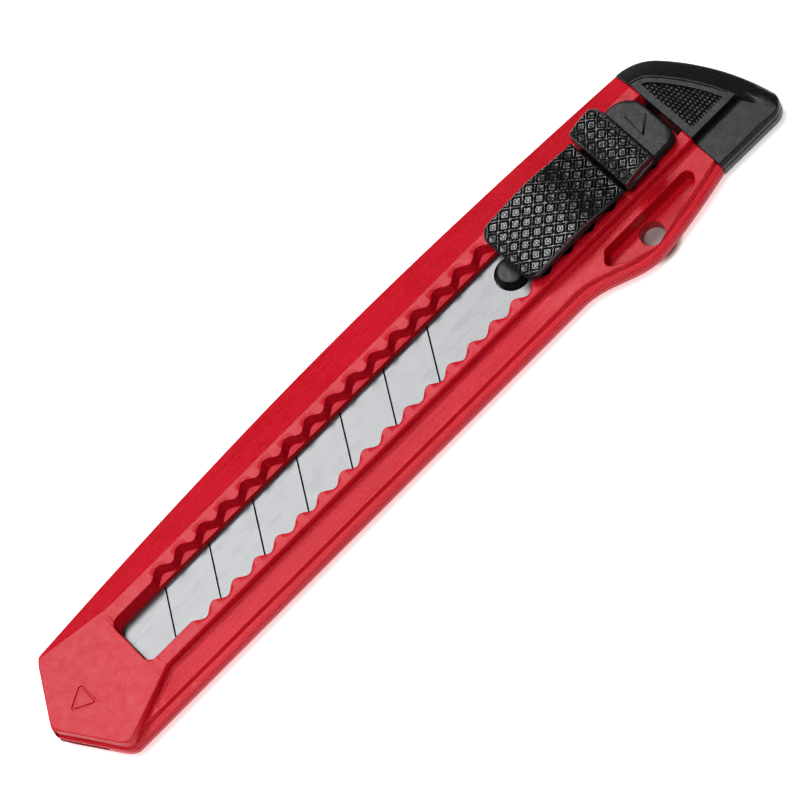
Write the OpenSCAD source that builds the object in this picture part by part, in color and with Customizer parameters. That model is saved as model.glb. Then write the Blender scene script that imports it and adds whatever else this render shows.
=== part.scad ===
// Snap-off knife: 18 mm scored blade in a two-shell plastic handle, with a sliding blade
// carrier, a press-down lock button, click springs and a pull-off end cap.
// X runs along the knife (nose at -X), Y across it (cutting edge at -Y), Z up.
// The origin is on the resting plane, under the middle of the knife's outline.

/* [Handle] */
// Length of the whole knife, nose to end cap
overall_len = 159; // [157:0.5:162]
// Length of the end cap outside the handle
cap_len = 15.3; // [15:0.1:16]
// Height of the raised front rim above the blade
rim_h = 3.3; // [3.2:0.05:3.6]
// Depth of the handle under the blade
back_h = 4.2; // [4.1:0.1:5]
// Distance from the blade's centre line to the middle of the curved back edge
back_w = 14.65; // [14:0.05:16]
// Radius of the curved back edge
back_radius = 730; // [650:10:1000]
// Distance from the blade's centre line to the straight front flange
flange_w = 13.2; // [13:0.1:14]
// Half width of the raised front rim
rim_w = 7.55; // [7.3:0.05:8]
// Height of the lower deck beside the rim
deck_h = 1.65; // [1.4:0.05:1.9]

/* [Window] */
// Distance from the nose to the front of the blade window
window_start = 19.2; // [18.5:0.1:20]
// Half width of the window between the notches
window_w = 5.12; // [5:0.02:5.3]
// Half width of the slot between the blade ledges
slot_w = 4.42; // [4.35:0.01:4.5]
// Height of the ledges above the blade
ledge_h = 1.3; // [1:0.05:1.4]
// Distance between two click notches
notch_pitch = 5; // [4.9:0.05:5.1]
// Depth of a click notch
notch_depth = 1.32; // [1.2:0.02:1.5]
// Number of click notches on each side
notch_count = 22; // [20:1:22]

/* [Blade] */
// Width of the blade
blade_w = 18; // [17.8:0.1:18.1]
// Thickness of the blade
blade_t = 0.5; // [0.4:0.05:0.5]
// Distance between two score lines
segment_pitch = 10.22; // [10:0.02:10.3]
// Angle of the score lines to the blade's edge
score_angle = 60; // [58:0.5:62]
// Number of segments that snap off
segment_count = 7; // [6:1:7]
// Diameter of the hole in the blade's tail
blade_hole_d = 6.24; // [6.2:0.02:6.4]

/* [Slider] */
// Distance that the blade carrier slides
slide_travel = 85; // [80:5:85]
// Distance that the lock button presses down
press_travel = 1; // [0.6:0.1:1.2]
// Half width of the lock button's pad
pad_w = 6.65; // [6.4:0.05:6.9]
// Half width of the rear thumb stop
hump_w = 7.1; // [6.8:0.05:7.3]
// Height of the rear thumb stop above the blade
hump_h = 9.2; // [8.8:0.1:9.5]

/* [Hanging hole] */
// Diameter of the hanging hole
hang_d = 4.4; // [4:0.1:4.6]
// Furthest reach of the hanging bulge from the blade's centre line
bulge_w = 17.2; // [16.9:0.1:17.6]

/* [Hidden] */
$fn = 64;
tip_x = -overall_len / 2;
end_x = overall_len / 2;
joint_x = end_x - cap_len;          // where the cap meets the handle
seat_y = (bulge_w - back_w) / 2;    // puts the origin under the middle of the outline
big = 400;

// Outline of the handle
tip_y = -1.5;                       // the nose points slightly off the blade's centre line
tip_round = 1.6;                    // rounding where the nose meets the sides
shoulder_x = tip_x + 6.6;
shoulder_back = 10.3;
shoulder_front = -flange_w;
flare_x = tip_x + 21.2;             // where the rim starts to widen into the nose face
flange_top = 0.8;
flange_low = -1.4;
bottom_inset = 2;
bulge_start = joint_x - 32.2;
bulge_peak = joint_x - 17.4;
cap_flange = 14.1;                  // flange of the cap, and of the handle where they meet

// Cap outline, three tangent arcs
cap_r1 = 9.1;
cap_c1 = [joint_x - 0.4, 3.0];
cap_r2 = 44.6;
cap_c2 = [end_x - 44.1, -18.3];
cap_r3 = 3.2;
cap_c3 = [end_x - cap_r3, -cap_flange - 0.2 + cap_r3];
ridge_r = 38.6;                     // arc along the edge of the cap's panel
ridge_c = [end_x - 43.3, -18.3];
ridge_x0 = joint_x + 2.6;
ridge_slope = 0.55;
panel_end = end_x - 4.8;
rim_draft = 0.08;                   // lean of the wall between the rim and the deck
bevel_slope = 0.46;                 // fall of the back bevel for each millimetre across
end_ridge_y = -9.9;                 // where the rim's ridge runs out at the end of the cap

// Inner spaces, with the fits between the sliding pieces and the handle
fit = 0.1;
blade_half = blade_w / 2;
channel_w = blade_half + 0.25;
sled_w = 5.2;
sled_low = -2.4;
sled_x0 = joint_x - 40.2;
sled_x1 = joint_x - 1.8;
window_x = tip_x + window_start;
first_notch = tip_x + 31.2;
pin_x = joint_x - 36.25;
tang_end = pin_x + 5.9;
score_x0 = pin_x - 18.74;           // middle of the last score line
score_gap = 0.04;
grind_w = 1.5;                      // width of the ground cutting edge

// Slider
button_x0 = joint_x - 35.9;
button_x1 = joint_x - 14.2;
hump_x0 = joint_x - 13.8;
hump_x1 = joint_x - 6.9;
tongue_x1 = joint_x - 1.2;
tongue_w = 6.4;
tongue_t = 2.1;
tongue_round = 3.2;
post_x0 = joint_x - 29;
post_x1 = joint_x - 15.4;
arm_notch = first_notch + 18 * notch_pitch; // the notch that the click arms rest in
post_w = 3.9;
post_top = 3;
well_x0 = post_x0 + 1.8;
well_len = 9.4;
well_w = 2.6;
well_floor = -0.2;
neck_w = 4.2;
neck_z = -blade_t - 0.5;            // the blade rests on the sled; posts start inside the sled
pin_step = 1.2;
pin_top = 1.6;
spring_t = 0.4;
pad_low = rim_h + 1.75;
pad_top = 7.2;
pad_round = 2.3;
stem_low = 2.2;

// Cap plug
plug_len = 9;
plug_y0 = 6.4;
plug_y1 = 9.0;

function clamp01(t) = min(1, max(0, t));
function mix(a, b, t) = a + (b - a) * t;
function ease(t) = (1 - cos(180 * clamp01(t))) / 2;
function soft_min(a, b, k) =
    let (t = clamp01(0.5 + (b - a) / (2 * k))) mix(b, a, t) - k * t * (1 - t);
function soft_max(a, b, k) = -soft_min(-a, -b, k);
function on_arc(c, r, x) = c.y + sqrt(max(0, r * r - (x - c.x) * (x - c.x)));
function line_y(p, q, x) = p.y + (q.y - p.y) * (x - p.x) / (q.x - p.x);

// Back edge: a long arc that turns in towards the nose, and rounds into the cap's end
function back_arc(x) = back_w - x * x / (2 * back_radius);
function back_edge(x) =
    x > joint_x + 7.3 ? on_arc(cap_c2, cap_r2, x) :
    x > joint_x + 1 ? on_arc(cap_c1, cap_r1, x) :
    soft_min(min(back_arc(x),
                 line_y([flare_x, back_arc(flare_x)], [shoulder_x, shoulder_back], x)),
             line_y([tip_x, tip_y + 0.3], [shoulder_x, shoulder_back], x), tip_round);

// Front edge: straight flange, hanging bulge, then the cap's flange and round corner
function bulge_edge(x) =
    x < bulge_peak ? mix(-flange_w, -bulge_w, ease((x - bulge_start) / (bulge_peak - bulge_start)))
    : mix(-bulge_w, -cap_flange, pow(clamp01((x - bulge_peak) / (joint_x - bulge_peak)), 1.3));
function front_edge(x) =
    x > cap_c3.x ? 2 * cap_c3.y - on_arc(cap_c3, cap_r3, x) :
    x > joint_x ? -cap_flange - 0.2 * (x - joint_x) / (cap_c3.x - joint_x) :
    x > bulge_start ? bulge_edge(x) :
    soft_max(shoulder_front,
             line_y([tip_x, tip_y - 0.3], [shoulder_x + 0.5, shoulder_front], x), tip_round);

// Edges of the raised rim, which widens into the nose face and narrows along the cap
function rim_back(x) =
    x > joint_x + 1.2 ? on_arc(ridge_c, ridge_r, max(x, ridge_x0))
        - ridge_slope * (ridge_x0 - min(x, ridge_x0)) :
    min(max(rim_w, line_y([flare_x, rim_w], [shoulder_x, 9.9], x)), back_edge(x) - 0.4);
function rim_front(x) =
    x > panel_end ? mix(-rim_w, end_ridge_y, (x - panel_end) / (end_x - panel_end)) :
    max(min(-rim_w, line_y([flare_x, -rim_w], [flare_x - 12.8, -12.7], x)), front_edge(x) + 0.35);
function rim_z(x) =
    x > panel_end ? mix(rim_h, flange_top + 0.2, (x - panel_end) / (end_x - panel_end))
    : rim_h;
function rim_back_safe(x) = max(rim_back(x), rim_front(x) + 0.1);
function deck_outer(x) = min(front_edge(x) + 1.65, rim_front(x) - 2 * rim_draft);

// Half profiles of one cross-section, above and below the joint plane
function upper_profile(x) =
    let (f = front_edge(x), d = max(deck_outer(x), f + 0.2), z = rim_z(x),
         r = rim_back_safe(x), b = max(back_edge(x), r + 0.1))
    [[f, 0], [f, min(flange_top, z - 0.2)], [mix(f, d, 0.7), min(flange_top, z - 0.2)],
     [d, min(deck_h, z - 0.1)], [rim_front(x) - rim_draft, min(deck_h, z - 0.1)],
     [rim_front(x), z], [r, z], [b, max(0.1, z - bevel_slope * (b - r))], [b, 0]];
function lower_profile(x) =
    let (f = front_edge(x), b = back_edge(x), m = (f + b) / 2,
         inset = min(bottom_inset, (b - f) / 2 - 0.1),
         z = mix(flange_low - 0.1, -back_h, clamp01((end_x - x) / bottom_inset)))
    [[b, 0], [b, flange_low], [b - inset, z], [f + inset, z], [f, flange_low], [f, 0]];
function cap_profile(x) = let (u = upper_profile(x), l = lower_profile(x))
    concat([for (j = [1:7]) u[j]], [for (j = [1:4]) l[j]]);

// Solid through a list of cross-sections, each the same number of [y, z] points
module lofted(stations, profiles) {
    n = len(profiles[0]);
    last = len(stations) - 1;
    polyhedron(
        points = [for (i = [0:last]) for (p = profiles[i]) [stations[i], p.x, p.y]],
        faces = concat(
            [[for (j = [n - 1:-1:0]) j]],
            [for (i = [0:last - 1]) for (j = [0:n - 1])
                [i * n + j, i * n + (j + 1) % n, (i + 1) * n + (j + 1) % n, (i + 1) * n + j]],
            [[for (j = [0:n - 1]) last * n + j]]));
}

// Stations along the handle and the cap, closer together where the outline turns
nose_steps = [0, 0.3, 1, 2, 4, 5, 5.6, 6.2, 6.8, 7.4, 8.2, 9.4, 10.6, 12.6, 15, 18];
corner_steps = [4.7, 4, 3, 2.2, 1.5, 0.9, 0.4, 0];
bulge_steps = 8;
body_stations = concat([for (t = nose_steps) tip_x + t],
                       [for (x = [flare_x:12:bulge_start - 3]) x],
                       [for (k = [0:bulge_steps - 1]) mix(bulge_start, bulge_peak, k / bulge_steps)],
                       [for (k = [0:bulge_steps]) mix(bulge_peak, joint_x, k / bulge_steps)]);
cap_stations = concat([for (x = [joint_x:1:end_x - 5.2]) x], [for (t = corner_steps) end_x - t]);

module seat() {
    translate([0, seat_y, back_h]) children();
}

// Slot with two round front corners, running from x0 to x1 in plan
module slot_plan(x0, x1, half, r) {
    translate([x0 + r, -half]) square([x1 - x0 - r, 2 * half]);
    translate([x0, -half + r]) square([2 * r, 2 * (half - r)]);
    for (s = [-1, 1]) translate([x0 + r, s * (half - r)]) circle(r);
}

// Half width of the notched window at x
function notch_edge(x) = window_w + (x < first_notch - notch_pitch / 2 ? 0
    : notch_depth * (1 + cos(360 * (x - first_notch) / notch_pitch)) / 2);

module notch_plan() {
    points_per_notch = 8;
    x0 = first_notch - notch_pitch / 2;
    x1 = first_notch + (notch_count - 0.5) * notch_pitch;
    step = notch_pitch / points_per_notch;
    xs = concat([for (k = [0:points_per_notch * notch_count]) x0 + k * step], [joint_x + 1]);
    polygon(concat([for (x = xs) [x, notch_edge(min(x, x1))]],
                   [for (k = [len(xs) - 1:-1:0]) [xs[k], -notch_edge(min(xs[k], x1))]]));
}

// Boat-shaped pocket round the hanging hole
module pocket_plan() {
    x0 = bulge_peak - 7.2;
    x1 = joint_x - 5.6;
    xs = [for (t = [0:0.1:1]) mix(x0, x1, t)];
    intersection() {
        translate([x0 - 0.8, -bulge_w]) square([x1 - x0 + 2.4, bulge_w + pocket_back]);
        polygon(concat([for (x = xs) [x, front_edge(x) + pocket_wall(2 * (x - x0) / (x1 - x0) - 1)]],
                       [[x1 + 1.6, pocket_back - 1.6], [x1 + 0.6, pocket_back + 1],
                        [x0 - 0.6, pocket_back + 1], [x0 - 0.9, pocket_back - 1.4]]));
    }
}

// Thickness of the wall between the pocket and the front edge; t runs from -1 to 1
function pocket_wall(t) = 1.7 + 1.6 * pow(abs(t), 3);
pocket_back = -9.95;
pocket_z = -1.4;
hang_x = bulge_peak + 1.9;
hang_y = -12.4;

// Studs of the front shell that press into the back shell
studs = [for (x = [shoulder_x + 8, -30, 0, 26]) for (s = [-1, 1]) [x, s * 11.1]];
stud_r = 0.75;
stud_len = 1.5;

module handle_front_shell() {
    color("#d8202c") seat() {
        difference() {
            lofted(body_stations, [for (x = body_stations) upper_profile(x)]);
            translate([tip_x - 1, -channel_w, -1]) cube([overall_len, 2 * channel_w, 1 + fit]);
            translate([0, 0, -1]) linear_extrude(big) slot_plan(window_x, joint_x + 1, slot_w, 1.5);
            translate([0, 0, ledge_h]) linear_extrude(big) slot_plan(window_x, joint_x + 1, window_w, 1.6);
            translate([0, 0, ledge_h]) linear_extrude(big) notch_plan();
            translate([0, 0, -1]) linear_extrude(big) intersection() {
                union() {
                    slot_plan(window_x, joint_x + 1, window_w, 1.6);
                    notch_plan();
                }
                translate([tip_x, -flange_w]) square([overall_len, flange_w]);
            }
            translate([0, 0, -1]) linear_extrude(big) pocket_plan();
        }
        for (p = studs) translate([p.x, p.y, -stud_len]) cylinder(h = stud_len + 0.1, r = stud_r);
    }
}

module handle_back_shell() {
    color("#c41c28") seat() difference() {
        lofted(body_stations, [for (x = body_stations) lower_profile(x)]);
        translate([tip_x - 1, -channel_w, -blade_t - fit]) cube([overall_len, 2 * channel_w, 2]);
        translate([sled_x0 - slide_travel - 0.8, -sled_w - 0.15, sled_low - fit])
            cube([overall_len, 2 * sled_w + 0.3, 5]);
        for (s = [-1, 1])
            translate([joint_x - plug_len - 0.5, (s > 0 ? plug_y0 : -plug_y1) - fit, sled_low - fit])
                cube([plug_len + 5, plug_y1 - plug_y0 + 2 * fit, 5]);
        translate([0, 0, pocket_z]) linear_extrude(5) pocket_plan();
        translate([hang_x, hang_y, -back_h - 1]) cylinder(h = 8, d = hang_d);
        for (p = studs) translate([p.x, p.y, -stud_len - fit]) cylinder(h = 3, r = stud_r + 0.05);
    }
}

// Three-sided recess in the panel of the cap
recess_depth = 0.5;
module recess_plan() {
    low_y = -6.1;
    polygon([[joint_x + 1.5, 6.4], [joint_x + 1.5, low_y], [panel_end - 1.7, low_y],
             [joint_x + 6.2, 0.8], [joint_x + 3.2, 5]]);
}

module end_cap() {
    color("#242424") seat() {
        difference() {
            lofted(cap_stations, [for (x = cap_stations) cap_profile(x)]);
            translate([0, 0, rim_h - recess_depth]) linear_extrude(2) recess_plan();
        }
        for (s = [-1, 1]) translate([joint_x - plug_len, s > 0 ? plug_y0 : -plug_y1, sled_low])
            cube([plug_len + 1, plug_y1 - plug_y0, -sled_low - 0.1]);
    }
}

module blade_carrier() {
    color("#1e1e1e") seat() {
        translate([sled_x0, -sled_w, sled_low])
            cube([sled_x1 - sled_x0, 2 * sled_w, -sled_low - blade_t]);
        // Blade pin, stepped
        translate([pin_x, 0, neck_z]) cylinder(h = pin_step - neck_z, r = blade_hole_d / 2 - 0.22);
        translate([pin_x, 0, 0]) cylinder(h = pin_top, r = 2.4);
        // Post under the button, with the well that guides it
        difference() {
            translate([post_x0, -post_w, neck_z])
                cube([post_x1 - post_x0, 2 * post_w, post_top - neck_z]);
            translate([well_x0, -well_w, well_floor]) cube([well_len, 2 * well_w, big]);
        }
        // Neck through the slot, up to the thumb stop
        translate([hump_x0 - 0.6, -neck_w, neck_z])
            cube([sled_x1 + 0.8 - hump_x0, 2 * neck_w, 1 + ledge_h]);
        translate([hump_x0, -neck_w, 0])
            cube([tongue_x1 - hump_x0 - 0.6, 2 * neck_w, rim_h + 1]);
        thumb_stop();
    }
}

// Raised thumb stop and the low tongue behind it, above the rim
module thumb_stop() {
    corner = 2;
    low = 4.6;
    intersection() {
        rotate([90, 0, 0]) translate([0, 0, -hump_w]) linear_extrude(2 * hump_w)
            polygon([[hump_x0, low], [hump_x0, hump_h - 1.3], [hump_x0 + 2.4, hump_h - 0.3],
                     [hump_x0 + 4.4, hump_h], [hump_x1 - 1, hump_h - 0.8], [hump_x1, hump_h - 3],
                     [hump_x1 + 0.4, low]]);
        linear_extrude(big) union() {
            translate([hump_x0, -hump_w]) square([hump_x1 - hump_x0 - 1.5, 2 * hump_w]);
            translate([hump_x0, corner - hump_w])
                square([hump_x1 - hump_x0 + 0.4, 2 * (hump_w - corner)]);
            for (s = [-1, 1]) translate([hump_x1 + 0.4 - corner, s * (hump_w - corner)]) circle(corner);
        }
    }
    translate([0, 0, rim_h + 0.3]) linear_extrude(tongue_t) tongue_plan(tongue_w, tongue_round);
}

module tongue_plan(half, r) {
    translate([hump_x0, -half]) square([tongue_x1 - r - hump_x0, 2 * half]);
    translate([hump_x0, -half + r]) square([tongue_x1 - hump_x0, 2 * (half - r)]);
    for (s = [-1, 1]) translate([tongue_x1 - r, s * (half - r)]) circle(r);
}

module thumb_button() {
    color("#2a2a2a") seat() {
        intersection() {
            rotate([90, 0, 0]) translate([0, 0, -pad_w]) linear_extrude(2 * pad_w)
                polygon([[button_x0, pad_low], [button_x0, pad_top - 1.2], [button_x0 + 2, pad_top - 0.7],
                         [button_x0 + 10, pad_top], [button_x0 + 13, pad_top - 0.2],
                         [button_x0 + 17, pad_top - 0.8], [button_x1 - 1.2, pad_top - 0.5],
                         [button_x1, pad_top], [button_x1, pad_low]]);
            linear_extrude(big) slot_plan(button_x0, button_x1, pad_w, pad_round);
        }
        // Stem that slides in the carrier's well and rests on the spring
        translate([well_x0 + fit, -well_w + fit, stem_low])
            cube([well_len - 2 * fit, 2 * (well_w - fit), pad_low + 0.5 - stem_low]);
    }
}

// Bowed steel leaf that lifts the button
module button_spring() {
    span = 8.6;
    rise = 1.95;
    r = (span * span / 4 + rise * rise) / (2 * rise);
    color("#b8bcc0") seat() translate([well_x0 + well_len / 2, 0, well_floor + 0.01])
        rotate([90, 0, 0]) translate([0, 0, -1.8]) linear_extrude(3.6) intersection() {
            translate([0, rise - r]) difference() {
                circle(r + spring_t, $fn = 96);
                circle(r, $fn = 96);
            }
            translate([-span / 2, 0]) square([span, 5]);
        }
}

// U-shaped steel strip; the round lobe on each arm clicks into the notches
module detent_spring() {
    arm_y = 4.35;
    lobe_r = 1.3;
    lobe_y = 4.75;
    arm_len = 4.5;
    half = lobe_r + 0.7;
    color("#9a9ea2") seat() translate([0, 0, ledge_h + 0.15]) linear_extrude(1.6) {
        for (s = [-1, 1]) {
            translate([arm_notch - arm_len, s > 0 ? arm_y : -arm_y - spring_t])
                square([post_x1 + 0.3 + spring_t - arm_notch + arm_len, spring_t]);
            intersection() {
                translate([arm_notch, s * lobe_y]) difference() {
                    circle(lobe_r);
                    circle(lobe_r - spring_t);
                }
                translate([arm_notch - half, s > 0 ? arm_y + spring_t / 2 : -arm_y - spring_t / 2 - 3])
                    square([2 * half, 3]);
            }
        }
        translate([post_x1 + 0.3, -arm_y - spring_t]) square([spring_t, 2 * (arm_y + spring_t)]);
    }
}

// Steel strip with the cutting edge ground along -Y
module blade_strip(x0, x1) {
    rotate([90, 0, 90]) translate([0, 0, x0]) linear_extrude(x1 - x0)
        polygon([[-blade_half, -blade_t / 2 - 0.02], [-blade_half + grind_w, -blade_t],
                 [blade_half, -blade_t], [blade_half, 0],
                 [-blade_half + grind_w, 0], [-blade_half, -blade_t / 2 + 0.02]]);
}

// Band between two slanted lines, whose middles are at x0 and x1
module slanted_band(x0, x1) {
    lean = blade_half / tan(score_angle);
    translate([0, 0, -2]) linear_extrude(4)
        polygon([[x0 - lean, -blade_half], [x1 - lean, -blade_half],
                 [x1 + lean, blade_half], [x0 + lean, blade_half]]);
}

module blade_segment(i) {
    x1 = score_x0 - (segment_count - i) * segment_pitch;
    color("#c8cacc") seat() intersection() {
        blade_strip(x1 - segment_pitch - 10, x1 + 10);
        slanted_band(x1 - segment_pitch + score_gap / 2, x1 - score_gap / 2);
    }
}

module blade_tang() {
    corner = 3;
    side = corner * sqrt(2);
    color("#c8cacc") seat() difference() {
        intersection() {
            blade_strip(score_x0 - 10, tang_end);
            slanted_band(score_x0 + score_gap / 2, tang_end + 40);
        }
        translate([pin_x, 0, -2]) cylinder(h = 4, d = blade_hole_d);
        for (s = [-1, 1]) translate([tang_end, s * blade_half, -2]) rotate(45)
            translate([-side / 2, -side / 2]) cube([side, side, 4]);
    }
}

handle_front_shell();
handle_back_shell();
end_cap();
blade_carrier();
thumb_button();
button_spring();
detent_spring();
blade_tang();
for (i = [1:segment_count])
    blade_segment(i);
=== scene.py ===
"""Looks of the snap-off knife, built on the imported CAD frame.

Lengths are in millimetres in blade coordinates (x along the knife with the nose at -x, y across it,
z above the blade's upper face) and become metres in the frame's coordinates when a mesh is made.
"""

import math

import bmesh
import bpy
from mathutils import Matrix, Vector


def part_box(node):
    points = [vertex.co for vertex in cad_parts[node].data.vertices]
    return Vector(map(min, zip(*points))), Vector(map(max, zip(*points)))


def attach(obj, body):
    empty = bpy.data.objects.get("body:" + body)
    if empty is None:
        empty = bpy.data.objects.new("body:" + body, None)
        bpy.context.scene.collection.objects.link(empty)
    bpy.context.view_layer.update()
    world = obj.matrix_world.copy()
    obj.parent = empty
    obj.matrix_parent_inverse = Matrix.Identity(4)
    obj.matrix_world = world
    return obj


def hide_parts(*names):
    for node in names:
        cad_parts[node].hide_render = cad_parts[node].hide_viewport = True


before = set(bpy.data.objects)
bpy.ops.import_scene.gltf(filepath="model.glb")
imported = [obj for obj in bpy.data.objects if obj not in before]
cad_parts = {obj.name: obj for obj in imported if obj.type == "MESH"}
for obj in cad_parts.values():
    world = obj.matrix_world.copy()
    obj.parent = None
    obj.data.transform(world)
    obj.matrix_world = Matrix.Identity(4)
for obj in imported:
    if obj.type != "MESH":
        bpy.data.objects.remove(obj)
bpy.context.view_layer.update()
MM = 0.001

# ---------------------------------------------------------------- places taken from the frame
tang_low, tang_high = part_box("blade_tang")
shell_low, shell_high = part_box("handle_front_shell")
SEAT_Y = (tang_low.y + tang_high.y) / 2 / MM
SEAT_Z = tang_high.z / MM
TIP_X = shell_low.x / MM
JOINT_X = shell_high.x / MM
END_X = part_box("end_cap")[1].x / MM
BACK_H = (tang_high.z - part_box("handle_back_shell")[0].z) / MM

# Handle
TIP_Y = -1.5
RIM_H, RIM_W, DECK_H = 3.3, 7.55, 1.65
BACK_W, BACK_RADIUS, FLANGE_W = 14.65, 730, 13.2
FLANGE_TOP, FLANGE_LOW, BOTTOM_INSET = 0.8, -1.4, 2.0
BEVEL_SLOPE = 0.46
SHOULDER_BACK = 10.3
SHOULDER_X = TIP_X + 6.6
FLARE_X = TIP_X + 21.2
BULGE_START, BULGE_PEAK, BULGE_W = JOINT_X - 32.2, JOINT_X - 17.4, 17.2
CAP_FLANGE = 14.1
CHANNEL_W, CHANNEL_TOP, CHANNEL_LOW = 9.25, 0.1, -0.6
SLED_W, SLED_LOW = 5.2, -2.4
SLED_X0, SLED_X1 = JOINT_X - 40.2, JOINT_X - 1.8
SLIDE_TRAVEL = 85

# Window
WINDOW_X = TIP_X + 19.2
WINDOW_W, SLOT_W, LEDGE_H = 5.12, 4.42, 1.3
FIRST_NOTCH, NOTCH_PITCH, NOTCH_COUNT = TIP_X + 31.2, 5.0, 22
NOTCH_TOP, NOTCH_LOW = 1.32, 1.2

# Pocket and hanging hole
HANG_X, HANG_Y, HANG_D, POCKET_Z = BULGE_PEAK + 1.9, -12.4, 4.4, -1.4
POCKET_CORNERS = [  # distance from the bulge's peak, y, corner radius
    (-7.9, -12.1, 1.1), (-4.2, -14.5, 4.0), (0.4, -15.95, 4.0), (6.2, -14.6, 6.0),
    (12.4, -12.75, 1.3), (13.5, -11.2, 1.3), (12.8, -9.93, 0.9), (-5.9, -9.93, 1.4),
]
POCKET_FLOOR = [(POCKET_Z, -0.14), (POCKET_Z + 0.12, -0.03), (POCKET_Z + 0.3, 0.0)]  # z, growth

# Direction mark on the nose
MARK_TIP_X, MARK_BASE_X, MARK_Y, MARK_HALF = TIP_X + 4.75, TIP_X + 8.75, -1.2, 2.25

# Studs between the two shells
STUD_PLACES = [(x, side * 11.1) for x in (SHOULDER_X + 8, -30, 0, 26) for side in (-1, 1)]
STUD_R, STUD_LEN = 0.75, 1.5

# Blade
BLADE_HALF, BLADE_T, GRIND_W = 9.0, 0.5, 1.5
PIN_X = JOINT_X - 36.25
TANG_END = PIN_X + 5.9
SCORE_X0, SEGMENT_PITCH, SEGMENTS = PIN_X - 18.74, 10.22, 7
SCORE_LEAN = 1 / math.tan(math.radians(60))

# Slider
BUTTON_X0, BUTTON_X1, PAD_W, PAD_LOW = JOINT_X - 35.9, JOINT_X - 14.2, 6.65, 5.05
PAD_CREST = [  # distance from the pad's front end, height
    (0, 5.95), (2.0, 6.45), (7.7, 7.0), (11.3, 7.15), (13.7, 6.95), (17.7, 6.2), (20.3, 5.9), (21.7, 5.95),
]
HUMP_X0, HUMP_X1, HUMP_W = JOINT_X - 13.8, JOINT_X - 6.9, 7.1
HUMP_CREST = [  # distance from the stop's front end, height
    (0, 7.85), (2.4, 8.75), (4.4, 9.15), (5.4, 9.05), (6.3, 8.3), (7.0, 6.6), (7.3, 5.2),
]
TONGUE_X1 = JOINT_X - 1.2
POST_X0, POST_X1, POST_W, WELL_W = JOINT_X - 29, JOINT_X - 15.4, 3.9, 2.6
PIN_R, PIN_HOLE_R = 2.9, 3.12

# Cap outline: two tangent arcs on the back, a round corner at the front
CAP_C2, CAP_R2 = Vector((END_X - 44.1, -18.3)), 44.6
CAP_C1 = Vector((JOINT_X - 0.4, 3.0))
CAP_R1 = CAP_R2 - (CAP_C1 - CAP_C2).length  # tangent to the long arc
CAP_R3 = 3.2
CAP_C3 = Vector((END_X - CAP_R3, -CAP_FLANGE - 0.2 + CAP_R3))
PANEL_EDGE, PANEL_Y, PANEL_TIP = 3.8, -7.35, END_X - 4.9
RECESS_EDGE, RECESS_Y, RECESS_X, RECESS_TIP = 5.15, -6.1, JOINT_X + 1.4, END_X - 6.5
RECESS_DEPTH, RECESS_STEPS, BEVEL_STEPS = 0.75, 104, 18
PLUG_Y0, PLUG_Y1, PLUG_LEN = 6.4, 9.0, 9


# ---------------------------------------------------------------- small functions
def clamp01(t):
    return min(1.0, max(0.0, t))


def mix(a, b, t):
    return a + (b - a) * t


def smooth(t):
    t = clamp01(t)
    return t * t * (3 - 2 * t)


def ease(t):
    return (1 - math.cos(math.pi * clamp01(t))) / 2


def soft_min(a, b, k):
    t = clamp01(0.5 + (b - a) / (2 * k))
    return mix(b, a, t) - k * t * (1 - t)


def soft_max(a, b, k):
    return -soft_min(-a, -b, k)


def on_arc(c, r, x):
    return c[1] + math.sqrt(max(0.0, r * r - (x - c[0]) ** 2))


def line_y(p, q, x):
    return p[1] + (q[1] - p[1]) * (x - p[0]) / (q[0] - p[0])


def spread(a, b, count):
    return [mix(a, b, i / count) for i in range(count + 1)]


def fillet(points, radii, steps=3, closed=False):
    """The points with each corner rounded; the count of points doesn't depend on the shape."""
    out = []
    n = len(points)
    for i, (p, r) in enumerate(zip(points, radii)):
        if r <= 0 or (not closed and i in (0, n - 1)):
            out.append(tuple(p))
            continue
        p = Vector(p)
        a, b = Vector(points[i - 1]) - p, Vector(points[(i + 1) % n]) - p
        la, lb = a.length, b.length
        if la < 1e-6 or lb < 1e-6:
            out += [tuple(p)] * (steps + 1)
            continue
        half = max(0.15, a.angle(b) / 2)
        t = min(r / math.tan(half), 0.45 * la, 0.45 * lb)
        start, end = p + a * (t / la), p + b * (t / lb)
        for k in range(steps + 1):
            s = k / steps
            out.append(tuple(start * (1 - s) ** 2 + p * 2 * s * (1 - s) + end * s * s))
    return out


# ---------------------------------------------------------------- mesh helpers
def add_skin(bm, rows, closed=True, caps=True, keep=None):
    """Adds a surface through rows of (x, y, z) points in millimetres."""
    grid = [
        [bm.verts.new((x * MM, (y + SEAT_Y) * MM, (z + SEAT_Z) * MM)) for x, y, z in row]
        for row in rows
    ]
    n = len(grid[0])
    for i in range(len(grid) - 1):
        for j in range(n if closed else n - 1):
            k = (j + 1) % n
            if keep is None or keep(rows, i, j, k):
                bm.faces.new((grid[i][j], grid[i][k], grid[i + 1][k], grid[i + 1][j]))
    if caps:
        ends = [bm.faces.new(grid[0]), bm.faces.new(list(reversed(grid[-1])))]
        bmesh.ops.triangulate(bm, faces=ends)
    return grid


def tidy(bm, distance=2e-6):
    bmesh.ops.remove_doubles(bm, verts=bm.verts, dist=distance)
    bmesh.ops.dissolve_degenerate(bm, edges=bm.edges, dist=distance / 4)
    loose = [v for v in bm.verts if not v.link_faces]
    bmesh.ops.delete(bm, geom=loose, context="VERTS")
    bmesh.ops.recalc_face_normals(bm, faces=bm.faces)


def to_object(name, bm):
    mesh = bpy.data.meshes.new(name)
    bm.to_mesh(mesh)
    bm.free()
    obj = bpy.data.objects.new(name, mesh)
    bpy.context.scene.collection.objects.link(obj)
    return obj


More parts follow.
